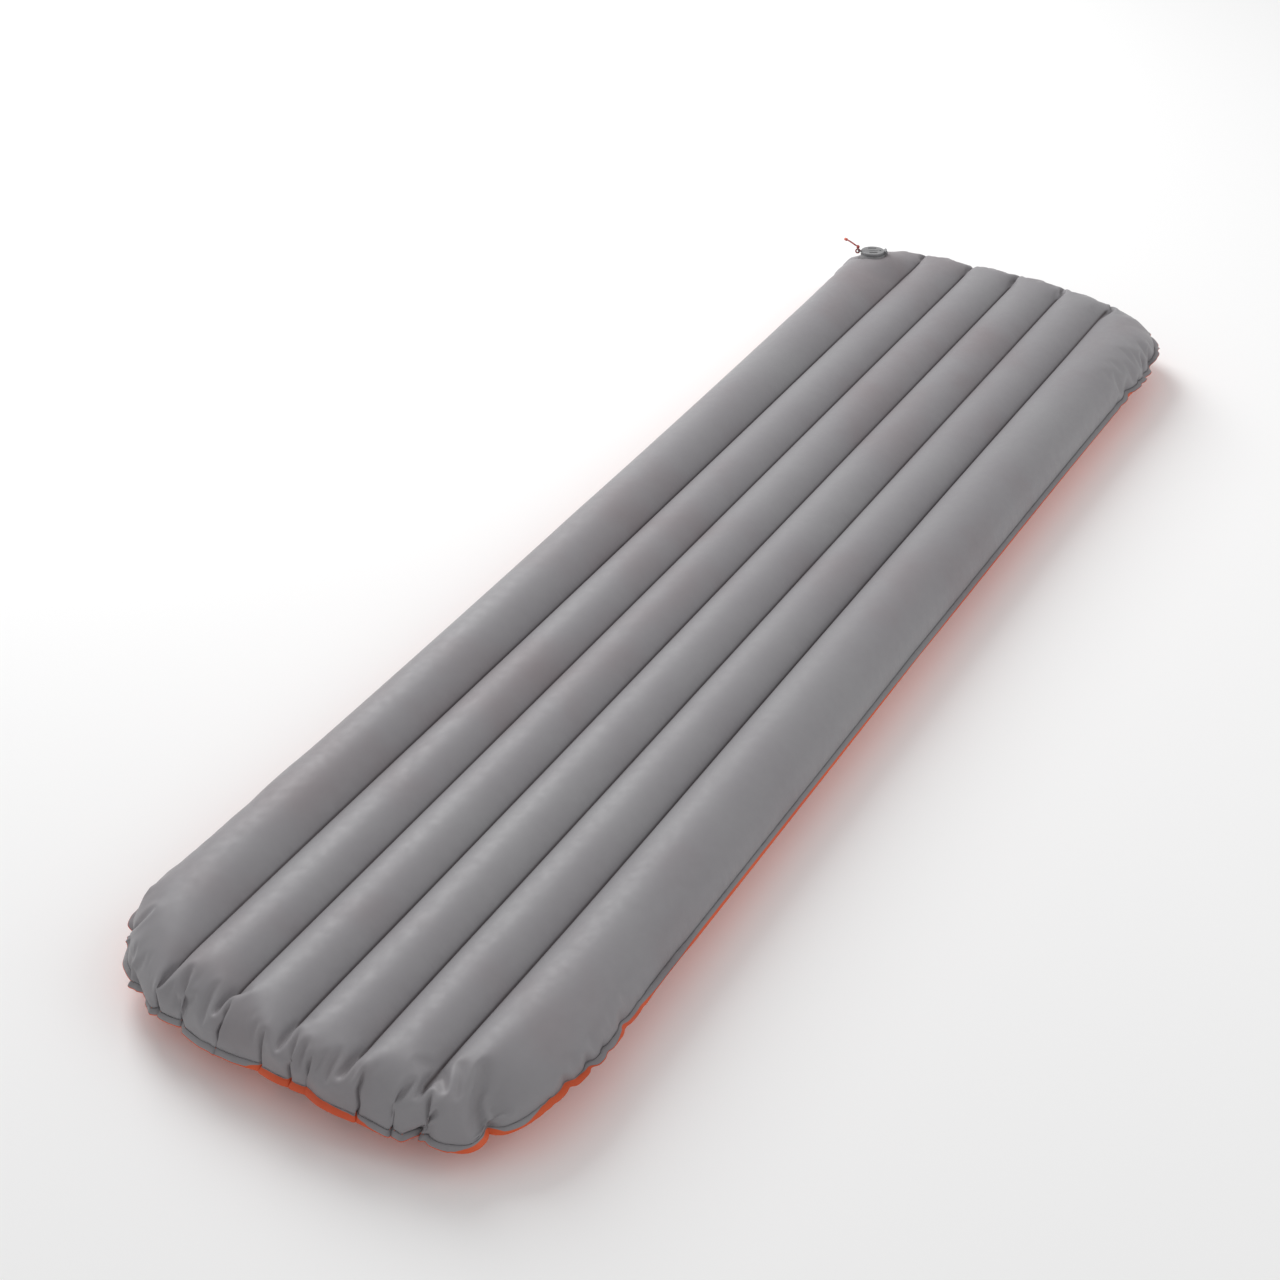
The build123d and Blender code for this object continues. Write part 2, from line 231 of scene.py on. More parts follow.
def press_pleats(x, ring):
    """Starts each pleat: a short valley, square to the weld, that also pulls the weld in."""
    weld = x[ring].copy()
    for px, py, length, _ in PLEATS:
        i = nearest_on_weld(weld, px, py)
        along = (weld[(i + 3) % len(weld)] - weld[i - 3])[:2]
        along /= np.linalg.norm(along)
        inward = np.array([along[1], -along[0]])
        if inward @ (np.array([0, np.sign(py) * PLEAT_AIM]) - weld[i, :2]) < 0:
            inward = -inward
        d = x[..., :2] - weld[i, :2]
        deep, beside = d @ inward, d @ along
        reach = np.clip(1 - deep / (length / 1000), 0, 1) * (deep > -PLEAT_OUTSIDE)
        push = np.exp(-(beside / PLEAT_WIDTH) ** 2) * reach
        x[..., 2] -= PLEAT_DEPTH * push * np.clip(x[..., 2] / PLEAT_RAMP, 0, 1)
        x[..., :2] += PLEAT_PULL * push[..., None] * inward


def folds(cut, weld, ring):
    """Pairs of points on the two sides of each pleat, and how far apart it lets them be."""
    flat, edge = cut.reshape(-1, 2), cut[ring]

    def nearest(p):
        return np.argmin(((flat - p) ** 2).sum(-1))

    pairs = {}
    for px, py, length, keep in PLEATS:
        if keep == 1:
            continue
        i = nearest_on_weld(weld, px, py)
        beside = edge[(i + 2) % len(edge)] - edge[i - 2]
        beside /= np.linalg.norm(beside)
        inward = np.array([-beside[1], beside[0]])
        if inward @ edge[i] > 0:
            inward = -inward
        for far in np.arange(0, length / 1000, FOLD_STEP):
            for half in FOLD_HALVES:
                a = nearest(edge[i] + far * inward - half * beside)
                b = nearest(edge[i] + far * inward + half * beside)
                width = np.linalg.norm(flat[a] - flat[b])
                share = far * 1000 / length
                pairs[a, b] = width * (keep + (1 - keep) * share**2)
    a, b = np.array(list(pairs)).T
    cols = cut.shape[1]
    return np.divmod(a, cols), np.divmod(b, cols), np.array(list(pairs.values()), F4)


def slope(x, out):
    """Differences along the first axis."""
    out[1:-1], out[0], out[-1] = x[2:] - x[:-2], x[1] - x[0], x[-1] - x[-2]


def cloth_links(cut, weld, ring, held):
    """What holds points together: (points, points, distance, stiffness, which errors count)."""
    rows, cols = cut.shape[:2]
    whole = slice(None)
    links = []

    def link(a, b, stiff, only=None):
        distance = np.linalg.norm(cut[a] - cut[b], axis=-1).astype(F4)
        links.append((a, b, distance, stiff, only))

    for o in (0, 1):
        m = o + 2 * ((cols - o) // 2)
        link((whole, slice(o, m, 2)), (whole, slice(o + 1, m + 1, 2)), F4(EDGE_STIFF))
        m = o + 2 * ((rows - o) // 2)
        a, b = slice(o, m, 2), slice(o + 1, m + 1, 2)
        link((a, whole), (b, whole), F4(EDGE_STIFF))
        link((a, slice(0, -1)), (b, slice(1, None)), F4(DIAGONAL_STIFF))
        link((a, slice(1, None)), (b, slice(0, -1)), F4(DIAGONAL_STIFF))
    # the cloth resists bending, but not across the baffle lines
    bend = np.full((rows, cols), BEND_STIFF, F4)
    bend[held[0]:held[-1] + 1, LINES] = 0
    for o in range(4):
        a, b = (whole, slice(o, cols - 2, 4)), (whole, slice(o + 2, cols, 4))
        link(a, b, bend[:, o + 1:cols - 1:4], np.minimum)
        a, b = (slice(o, rows - 2, 4), whole), (slice(o + 2, rows, 4), whole)
        link(a, b, F4(BEND_STIFF), np.minimum)
    a, b, apart = folds(cut, weld, ring)
    links.append((a, b, apart, F4(FOLD_STIFF), np.maximum))
    return links


def inflate(cut, x, ring, held):
    """Air pressure against edges that keep their cut length, until the pad is taut."""
    links = cloth_links(cut, x[ring], ring, held)
    before = x = x.astype(F4)
    du, dv = np.empty_like(x), np.empty_like(x)
    valleys = held[:, None], LINES, 2
    for _ in range(STEPS):
        slope(x, dv)
        slope(x.swapaxes(0, 1), du.swapaxes(0, 1))
        normal = np.cross(dv, du)
        normal /= np.maximum(np.linalg.norm(normal, axis=-1, keepdims=True), 1e-9)
        x, before = x + (x - before) * F4(DAMPING) + normal * F4(AIR), x
        for _ in range(ITERATIONS):
            for a, b, distance, stiff, only in links:
                d = x[b] - x[a]
                now = np.sqrt(np.einsum("...i,...i", d, d))
                error = now - distance if only is None else only(now - distance, 0)
                d *= (stiff * error / np.maximum(now, F4(TINY)))[..., None]
                x[a] += d
                x[b] -= d
            x[valleys] = np.minimum(x[valleys], F4(HALF_BAFFLE))
            x[..., 2] = np.clip(x[..., 2], 0, F4(HIGHEST))
            x[ring[0], ring[1], 2] = 0
    return x.astype(float)


def smooth_round(values, times):
    """Evens out values that go round the weld."""
    for _ in range(times):
        values = (np.roll(values, 1, 0) + 2 * values + np.roll(values, -1, 0)) / 4
    return values


# ------------------------------------------------------------------------------------------
# The two sheets inflated
# ------------------------------------------------------------------------------------------
cut = pattern()
ROWS, COLS = cut.shape[:2]
ring = ring_order(ROWS, COLS)
HELD = np.where(np.abs(cut[:, COLS // 2, 1]) <= HELD_TO)[0]
puffed, inset = start_shape(cut)
puffed[ring[0], ring[1], 2] = 0
press_pleats(puffed, ring)
puffed[..., 2] += np.random.default_rng(JITTER_SEED).normal(0, JITTER, (ROWS, COLS))
puffed[ring[0], ring[1], 2] = 0
puffed = inflate(cut, puffed, ring, HELD)

# The weld isn't level: along the near end it sags and lifts by some millimetres. Its margin
# droops, in degrees, and here and there the grey margin is narrower and shows the orange one.
# Each row is a place in plan and the weld's height there, in mm, the margin's droop in degrees,
# and the share of the grey margin's width that is left.
WELD_LEVEL = [
    (-252, -800, 0, 20, 1), (-240, -840, -3, 30, 1), (-226, -866, -8, 45, 1),
    (-190, -885, -12, 52, 1), (-150, -889, -12, 52, 1), (-110, -908, -10, 52, 1),
    (-60, -912, -8, 50, 1), (-36, -913, -6, 50, 1), (-12, -914, -4, 45, 0.1),
    (13, -915, -3, 40, 0.1), (40, -911, -3, 40, 0.1), (66, -909, -4, 45, 0.1),
    (88, -907, -6, 45, 0.1), (104, -906, -9, 50, 1), (132, -900, -12, 52, 1),
    (160, -893, -12, 52, 1), (190, -883, -10, 52, 1), (214, -870, -8, 45, 0.3),
    (232, -856, -6, 45, 0.6), (241, -835, -2, 30, 1), (247, -812, 2, 12, 0.1),
    (250, -790, 4, 5, 0.1), (253, -765, 3, 5, 0.1), (254, -738, 1, 12, 1),
    (254, -600, 0, 14, 1), (-254, -600, 0, 14, 1), (254, 600, 0, 14, 1), (-254, 600, 0, 14, 1),
    (254, 0, 0, 14, 1), (-254, 0, 0, 14, 1),
    (-160, 900, 2, 15, 1), (-60, 910, -2, 25, 1), (60, 908, 2, 15, 1), (170, 890, -3, 30, 1),
    (225, 860, 2, 10, 1), (245, 820, 4, -10, 1), (252, 780, -3, 25, 1), (254, 740, 1, 10, 1),
]
LEVEL_SPOT = 0.016        # each of these places rules about this far round it
LEVEL_BLEND = 1e-5        # and further out they blend by their distances
LEVEL_SOFT = 0.01
SAG_REACH = 0.045         # how far in from the weld the sheets follow it up and down
TUCK = 0.020              # where the weld sags, the bottom sheet goes under more sharply
TUCK_SAG = 0.012          # in full from this much sag
TUCK_START = 0.007        # close to the weld, it comes in over about this distance
TUCK_REACH = 0.07         # and it fades out over this one
LEAST_GREY = 0.1
FLOOR_GAP = 0.0003        # from the floor up to the bottom sheet
MARGIN_GAP = 0.001        # and up to the margin

# The margin, as a strip of four lines of points
MARGIN_SHARES = (0, 0.33, 0.67, 1)
DROOP_AT_WELD = 0.55      # share of the droop that it starts with
DROOP_MORE = 0.45         # and that it gains on the way out
RUFFLE_SEED = 11
RUFFLE_LENGTHS = (0.013, 0.017, 0.022, 0.031, 0.046)
RUFFLE_MIDDLE = 0.02      # longer waves than this are higher, and shorter ones lower
RUFFLE_DEPTH = 0.0022     # it grows with the root of the cloth to spare, up to MOST_SPARE
RUFFLE_LEAST = 0.00012
MOST_SPARE = 0.3
DRIFT_TURNS = 7           # the waves bunch up and spread out this often on the way round


def weld_field(points):
    """Height over the CAD's weld in metres, the margin's droop in radians, and its grey share."""
    total, weight = np.zeros((3, *points.shape[:-1])), np.zeros(points.shape[:-1])
    for px, py, level, droop, share in WELD_LEVEL:
        d = np.hypot(points[..., 0] - px / 1000, points[..., 1] - py / 1000)
        w = np.exp(-(d / LEVEL_SPOT) ** 2) + LEVEL_BLEND / (LEVEL_SOFT + d * d)
        here = np.array([level / 1000, radians(droop), share])
        total += w * here.reshape(3, *[1] * d.ndim)
        weight += w
    return total / weight


def margin_strip(weld, cut_ring, droop, part):
    """The weld's margin: a flat strip, longer than the gathered weld, so that it ruffles. Part
    is the share of its width that is there."""
    step_cut = np.linalg.norm(np.roll(cut_ring, -1, 0) - cut_ring, axis=1)
    step_weld = np.linalg.norm(np.roll(weld, -1, 0) - weld, axis=1)
    spare = smooth_round(step_cut / step_weld - 1, times=12)
    along = smooth_round(np.roll(weld, -1, 0) - np.roll(weld, 1, 0), times=6)
    side = np.stack([along[:, 1], -along[:, 0]], -1)
    side /= np.linalg.norm(side, axis=1)[:, None]
    if np.sum(side * weld[:, :2]) < 0:
        side = -side
    rng = np.random.default_rng(RUFFLE_SEED)
    far = np.cumsum(step_cut)
    total = far[-1]
    round_once = far / total * 2 * np.pi
    wave = np.zeros(len(weld))
    for length in RUFFLE_LENGTHS:
        turns = round(total / length)
        swing = rng.uniform(0.4, 1.0) * np.sin(round_once * DRIFT_TURNS + rng.uniform(0, 6))
        phase = 2 * np.pi * turns * far / total + rng.uniform(0, 6) + swing
        wave += np.sin(phase) * (length / RUFFLE_MIDDLE)
    depth = RUFFLE_DEPTH * np.sqrt(np.clip(spare, 0, MOST_SPARE)) + RUFFLE_LEAST
    strip = []
    for share in MARGIN_SHARES:
        width = share * part * FLANGE
        angle = droop * (DROOP_AT_WELD + DROOP_MORE * share)
        place = weld.copy()
        place[:, :2] += side * (width * np.cos(angle))[:, None]
        place[:, 2] -= width * np.sin(angle)
        lift = wave * depth * share
        place[:, :2] += side * (lift * np.sin(angle))[:, None]
        place[:, 2] += lift * np.cos(angle)
        strip.append(place)
    return np.array(strip)


fade = np.exp(-(inset / SAG_REACH) ** 2)
level, droop, share = weld_field(puffed)
upper, lower = puffed.copy(), puffed * [1, 1, -1]
upper[..., 2] += level * fade
lower[..., 2] += level * fade
tuck = np.clip(-level / TUCK_SAG, 0, 1) * (1 - np.exp(-inset / TUCK_START))
tuck = tuck * np.exp(-(inset / TUCK_REACH) ** 2)
lower[..., 1] += TUCK * tuck * (puffed[..., 1] < 0)
weld, cut_ring, droop, share = (a[ring] for a in (upper, cut, droop, share))
margin = margin_strip(weld, cut_ring, droop, np.ones(len(weld)))
grey_margin = margin_strip(weld, cut_ring, droop, np.clip(share, LEAST_GREY, 1))

# Sitting on the floor, the bottom presses a little flat.
for points in (upper, lower, margin, grey_margin):
    points[..., 2] += SEAM_Z
lower[..., 2] = np.maximum(lower[..., 2], FLOOR_GAP)
margin[..., 2] = np.maximum(margin[..., 2], MARGIN_GAP)

# ------------------------------------------------------------------------------------------
# Valve frame, and the patch of sheet that is welded flat round its collar
# ------------------------------------------------------------------------------------------
TILT, LEAN = radians(7.5), radians(121)    # how far the valve leans, and towards where
VALVE_AT = Vector((-0.2085, 0.8135, SEAM_Z + 0.0492))
VALVE_X = Vector((sin(LEAN), -cos(LEAN), 0))
VALVE_Z = Vector((sin(TILT) * cos(LEAN), sin(TILT) * sin(LEAN), cos(TILT)))
VALVE_Y = VALVE_Z.cross(VALVE_X)
HOLE_R = 0.0139           # of the sheet's hole for the collar
HOLE_CUT = 0.0115         # faces with a point nearer than this are left out
HOLE_SNAP = 0.0162        # and points nearer than this go out to the hole's edge
RAY_R = 0.0155            # the CAD's sheet is measured outside this
RAY_FROM = 0.2
SKIN = 0.0001
COLLAR_DROP = 0.0012      # and inside it, the sheet is this far under the valve's own plane
FOOT_R = 0.0205           # out to here the sheet is right on the CAD's
FOOT_MARGIN = 0.002       # and past it, it leaves the CAD's
FOOT_BLEND = 0.003        # over this distance
FOOT_REACH = 0.062        # and from here on it is as it was inflated
FOOT_RISE = 0.02          # but it moves less near the weld


def at_valve(x, y, z):
    """A place given in the valve's own frame."""
    return VALVE_AT + VALVE_X * x + VALVE_Y * y + VALVE_Z * z


cad_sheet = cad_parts["top_sheet"].data
cad_tree = BVHTree.FromPolygons(
    [v.co.copy() for v in cad_sheet.vertices], [p.vertices[:] for p in cad_sheet.polygons]
)


def foot_height(p):
    """Height of the CAD's sheet under or over a point."""
    d = Vector(p) - VALVE_AT
    if (d - VALVE_Z * d.dot(VALVE_Z)).length > RAY_R:
        hit = cad_tree.ray_cast(Vector((p[0], p[1], RAY_FROM)), Vector((0, 0, -1)))[0]
        if hit is not None:
            return hit.z + SKIN
    return VALVE_AT.z - (d.x * VALVE_Z.x + d.y * VALVE_Z.y) / VALVE_Z.z - COLLAR_DROP


radial = np.linalg.norm(np.cross(upper - np.array(VALVE_AT), np.array(VALVE_Z)), axis=-1)
to_valve = (upper - np.array(VALVE_AT)) @ np.array([VALVE_X, VALVE_Y]).T
over = upper[..., 2] > SEAM_Z
foot = np.argwhere((radial < FOOT_R + FOOT_MARGIN) & over)
lift = np.array([foot_height(upper[i, j]) - upper[i, j, 2] for i, j in foot])
# round the foot, the sheet moves by the plane that fits the foot's own moves best
spots = to_valve[foot[:, 0], foot[:, 1]]
terms = np.stack([np.ones(len(foot)), spots[:, 0], spots[:, 1]], -1)
plane = np.linalg.lstsq(terms, lift, rcond=None)[0]
shrink = np.minimum(1, FOOT_R / np.maximum(radial, 1e-6))[..., None]
spread = plane[0] + (to_valve * shrink) @ plane[1:]
w = np.clip((FOOT_REACH - radial) / (FOOT_REACH - FOOT_R), 0, 1)
w = w * w * (3 - 2 * w) * over * np.clip((upper[..., 2] - SEAM_Z) / FOOT_RISE, 0, 1)
fitted = upper[..., 2] + spread * w
for (i, j), dz in zip(foot, lift):
    k = np.clip((FOOT_R + FOOT_MARGIN - radial[i, j]) / FOOT_BLEND, 0, 1)
    fitted[i, j] = fitted[i, j] * (1 - k) + (upper[i, j, 2] + dz) * k
upper[..., 2] = fitted

# ------------------------------------------------------------------------------------------
# Meshes
# ------------------------------------------------------------------------------------------
index = np.arange(ROWS * COLS).reshape(ROWS, COLS)
ring_index = index[ring]
N_RING = len(ring_index)
EDGE_FADE = 0.012         # how quickly the painted shade and the puckers along the weld fade
GROOVE_FADE = 0.009       # and that of the baffle lines
GROOVE_END = 0.02         # past the baffles' ends it fades over this
UV_OUT = 1.01             # the margin lies just outside the weld on the cut pattern
CREASE = 0.8
SHEET_GAP = 0.0002        # the two margins lie this far on each side of the weld
ORANGE_OUT = 0.0006       # and the orange one is a little wider


def new_object(name, verts, faces):
    """A smooth mesh."""
    mesh = bpy.data.meshes.new(name)
    mesh.from_pydata([tuple(v) for v in verts], [], [tuple(int(i) for i in f) for f in faces])
    mesh.polygons.foreach_set("use_smooth", [True] * len(mesh.polygons))
    o = bpy.data.objects.new(name, mesh)
    bpy.context.collection.objects.link(o)
    return o


def sheet_faces(n_margin, up, hole):
    """Faces of the grid and of the strips outside it, without those in the valve's hole."""
    quads = np.stack([index[:-1, :-1], index[:-1, 1:], index[1:, 1:], index[1:, :-1]], -1)
    quads = quads.reshape(-1, 4)
    if hole is not None:
        quads = quads[~(hole.reshape(-1)[quads] < HOLE_CUT).any(1)]
    loops = [ring_index]
    for k in range(n_margin):
        loops.append(ROWS * COLS + k * N_RING + np.arange(N_RING))
    strips = []
    for a, b in zip(loops, loops[1:]):
        strips.append(np.stack([a, b, np.roll(b, -1), np.roll(a, -1)], -1))
    strips = np.concatenate(strips)
    if up:
        quads = quads[:, ::-1]
    else:
        strips = strips[:, ::-1]
    return np.concatenate([quads, strips])


def mark_weld_and_valleys(mesh, used, n_margin):
    """Point attributes for the materials: how near the weld and the baffle lines are, for the
    painted shade in these creases and for the puckers.
    """
    edge = np.exp(-(inset.reshape(-1) / EDGE_FADE))
    edge = np.concatenate([edge, np.ones(n_margin * N_RING)])
    line_u = (np.array(LINES) - N_RAIL) / N_IN * INNER_ARC - PANEL
    off = np.min(np.abs(cut[..., 0, None] - line_u), -1)
    gone = np.clip((np.abs(cut[..., 1]) - HELD_TO) / GROOVE_END, 0, 1)
    groove = (np.exp(-off / GROOVE_FADE) * (1 - gone)).reshape(-1)
    groove = np.concatenate([groove, np.zeros(n_margin * N_RING)])
    for label, values in (("weld", edge), ("groove", groove)):
        layer = mesh.attributes.new(label, "FLOAT", "POINT")
        layer.data.foreach_set("value", values[used].astype(F4))


def lay_uv(mesh, used, n_margin):
    """The flat cut pattern, in metres, as the weave's coordinates."""
    around = np.tile(cut[ring], (n_margin, 1)) * UV_OUT
    flat = np.concatenate([cut.reshape(-1, 2), around])
    corner = np.empty(len(mesh.loops), int)
    mesh.loops.foreach_get("vertex_index", corner)
    uv = mesh.uv_layers.new(name="cut")
    uv.data.foreach_set("uv", flat[used][corner].reshape(-1).astype(F4))


def crease(mesh, new):
    """Keeps the valleys over the baffles and the weld sharp."""
    lines = set()
    for c in LINES:
        for r in HELD[:-1]:
            lines.add(tuple(sorted((int(new[index[r, c]]), int(new[index[r + 1, c]])))))
    for k in range(N_RING):
        a, b = int(new[ring_index[k]]), int(new[ring_index[(k + 1) % N_RING]])
        lines.add(tuple(sorted((a, b))))
    ends = np.empty(len(mesh.edges) * 2, int)
    mesh.edges.foreach_get("vertices", ends)
    ends = np.sort(ends.reshape(-1, 2), 1)
    values = [CREASE if (int(a), int(b)) in lines else 0.0 for a, b in ends]
    mesh.attributes.new("crease_edge", "FLOAT", "EDGE").data.foreach_set("value", values)


def sheet_object(name, points, margin_points, up, hole=None):
    """One sheet with its side of the welded margin, as a single surface. Hole is each grid
    point's distance from the valve's axis."""
    n_margin = len(margin_points)
    verts = np.concatenate([points.reshape(-1, 3), margin_points.reshape(-1, 3)])
    faces = sheet_faces(n_margin, up, hole)
    used = np.zeros(len(verts), bool)
    used[faces] = True
    new = np.cumsum(used) - 1
    o = new_object(name, verts[used], new[faces])
    mark_weld_and_valleys(o.data, used, n_margin)
    lay_uv(o.data, used, n_margin)
    crease(o.data, new)
    smooth = o.modifiers.new("smooth", "SUBSURF")
    smooth.levels = smooth.render_levels = 1
    smooth.use_limit_surface = False
    bpy.context.view_layer.objects.active = o
    bpy.ops.object.modifier_apply(modifier="smooth")
    return o


def snap_hole(points, distances):
    """Rounds the hole for the collar."""
    points = points.copy()
    for i, j in np.argwhere((distances > HOLE_CUT) & (distances < HOLE_SNAP)):
        d = Vector(points[i, j]) - VALVE_AT
        high = d.dot(VALVE_Z)
        flat = d - VALVE_Z * high
        points[i, j] = VALVE_AT + flat.normalized() * max(HOLE_R, flat.length) + VALVE_Z * high
    return points


outward = margin[-1] - margin[1]
outward /= np.maximum(np.linalg.norm(outward, axis=-1, keepdims=True), 1e-9)
gap = np.array([0, 0, SHEET_GAP])
top = sheet_object(
    "pad_top", snap_hole(upper, radial), grey_margin[1:] + gap, up=True, hole=radial
)
under = margin[1:].copy()
under[-1] += outward * ORANGE_OUT
bottom = sheet_object("pad_bottom", lower, under - gap, up=False)

for o, node, slot in (
    (top, "top_sheet", "top_fabric"), (bottom, "bottom_sheet", "bottom_fabric")
):
    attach(o, "pad")
    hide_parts(node)

# Baffle films follow the valleys that they hold down. Each is a web between two bonded tabs.
TAB = 2                   # grid columns on each side of the valley
FILM_GAP = 0.0006         # from the film to the sheet
WEB_SHARES = (0.25, 0.5, 0.75)
# Its lines of points are numbered along the upper tab, the lower tab and then down the web.
LOW, WEB = 2 * TAB + 1, 2 * (2 * TAB + 1)
pairs = [(k, k + 1) for k in (*range(LOW - 1), *range(LOW, WEB - 1))]
pairs += [(TAB, WEB), (WEB, WEB + 1), (WEB + 1, WEB + 2), (WEB + 2, LOW + TAB)]
films = []
for number, c in enumerate(LINES, start=1):
    high = [upper[HELD, c + k] - [0, 0, FILM_GAP] for k in range(-TAB, TAB + 1)]
    low = [lower[HELD, c + k] + [0, 0, FILM_GAP] for k in range(-TAB, TAB + 1)]
    web = [high[TAB] * (1 - s) + low[TAB] * s for s in WEB_SHARES]
    n = len(HELD)
    faces = []
    for a, b in pairs:
        for i in range(n - 1):
            faces.append((a * n + i, b * n + i, b * n + i + 1, a * n + i + 1))
    film = new_object(f"baffle_film_{number}", np.concatenate(high + low + web), faces)
    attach(film, "pad")
    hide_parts(f"baffle_{number}")
    films.append(film)

# ------------------------------------------------------------------------------------------
# Pull cord, on the route of the CAD's
# ------------------------------------------------------------------------------------------
LOOP_X = -0.0234          # the middle of the lid's pull tab, in the valve's frame
KNOT_Z = 0.01175          # and the height of the knot on it
CORD_R = 0.0012
route = [
    at_valve(*p)
    for p in [
        (LOOP_X - 0.0028, 0.0013, KNOT_Z + 0.0015),
        (-0.0298, 0.0052, 0.0146),
        (-0.0334, 0.0114, 0.0154),
        (-0.0372, 0.0200, 0.0152),
        (-0.0402, 0.0296, 0.0135),
    ]
]
curve = bpy.data.curves.new("pull_cord_strand", "CURVE")
curve.dimensions = "3D"
spline = curve.splines.new("NURBS")
spline.points.add(len(route) - 1)
for point, place in zip(spline.points, route):
    point.co = (*place, 1)
    point.radius = CORD_R
spline.order_u = 3
spline.use_endpoint_u = True
spline.resolution_u = 12
curve.bevel_depth = 1.0   # times each point's radius
curve.bevel_resolution = 5
cord = bpy.data.objects.new("pull_cord_strand", curve)
bpy.context.collection.objects.link(cord)
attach(cord, "cap")
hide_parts("pull_cord")


# ------------------------------------------------------------------------------------------
# Materials
# ------------------------------------------------------------------------------------------
def toned(colour, times, plus=0.0):
    """A colour made darker or lighter, by one factor or by one for each channel."""
    times = times if isinstance(times, tuple) else (times,) * 3
    return tuple(min(1, c * k + plus) for c, k in zip(colour, times))


class Nodes:
    """Short names for the shader nodes that the materials share."""

    def __init__(self, name):
        self.mat = bpy.data.materials.new(name)
        self.mat.use_nodes = True
        self.tree = self.mat.node_tree
        self.shader = self.tree.nodes["Principled BSDF"]

    def node(self, kind, **values):
        n = self.tree.nodes.new(kind)
        for key, value in values.items():
            setattr(n, key, value)
        return n

    def link(self, a, b):
        self.tree.links.new(a, b)

    def set(self, **values):
        """Numbers and colours that are the same all over, on the shader's own sockets."""
        for key, value in values.items():
            self.shader.inputs[key.replace("_", " ")].default_value = value

    def paint(self, colour, rough, normal):
        """The three sockets that vary over the surface."""
        for key, value in (("Base Color", colour), ("Roughness", rough), ("Normal", normal)):
            self.link(value, self.shader.inputs[key])

    def feed(self, socket, value):
        if hasattr(value, "links"):
            self.link(value, socket)
        else:
            socket.default_value = value

    def math(self, op, a, b):
        n = self.node("ShaderNodeMath", operation=op)
        self.feed(n.inputs[0], a)
        self.feed(n.inputs[1], b)
        return n.outputs[0]

    def noise(self, vector, scale, detail=3.0, rough=0.5):
        n = self.node("ShaderNodeTexNoise")
        self.link(vector, n.inputs["Vector"])
        n.inputs["Scale"].default_value = scale
        n.inputs["Detail"].default_value = detail
        n.inputs["Roughness"].default_value = rough
        return n.outputs["Fac"]

    def wave(self, vector, scale, direction, distortion=0.0):
        n = self.node("ShaderNodeTexWave", bands_direction=direction, wave_profile="SIN")
        self.link(vector, n.inputs["Vector"])
        n.inputs["Scale"].default_value = scale
        n.inputs["Distortion"].default_value = distortion
        return n.outputs["Fac"]

    def ramp(self, fac, stops):
        n = self.node("ShaderNodeValToRGB")
        self.link(fac, n.inputs["Fac"])
        points = n.color_ramp.elements
        while len(points) < len(stops):
            points.new(0.5)
        for point, (at, colour) in zip(points, stops):
            point.position = at
            point.color = (*colour, 1)
        return n.outputs["Color"]

    def mix(self, fac, a, b):
        n = self.node("ShaderNodeMix", data_type="RGBA")
        self.feed(n.inputs["Factor"], fac)
        self.feed(n.inputs["A"], (*a, 1) if isinstance(a, tuple) else a)
        self.feed(n.inputs["B"], (*b, 1) if isinstance(b, tuple) else b)
        return n.outputs["Result"]

    def span(self, value, low, high, to_low, to_high):
        n = self.node("ShaderNodeMapRange")
        self.link(value, n.inputs["Value"])
        ends = {"From Min": low, "From Max": high, "To Min": to_low, "To Max": to_high}
        for key, end in ends.items():
            n.inputs[key].default_value = end
        return n.outputs["Result"]

    def bump(self, height, strength, distance, under=None):
        n = self.node("ShaderNodeBump")
        n.inputs["Strength"].default_value = strength
        n.inputs["Distance"].default_value = distance
        self.link(height, n.inputs["Height"])
        if under is not None:
            self.link(under, n.inputs["Normal"])
        return n.outputs["Normal"]

    def place(self):
        return self.node("ShaderNodeTexCoord").outputs["Object"]

    def hollows(self):
        return self.node("ShaderNodeNewGeometry").outputs["Pointiness"]

    def attribute(self, name):
        return self.node("ShaderNodeAttribute", attribute_name=name).outputs["Fac"]


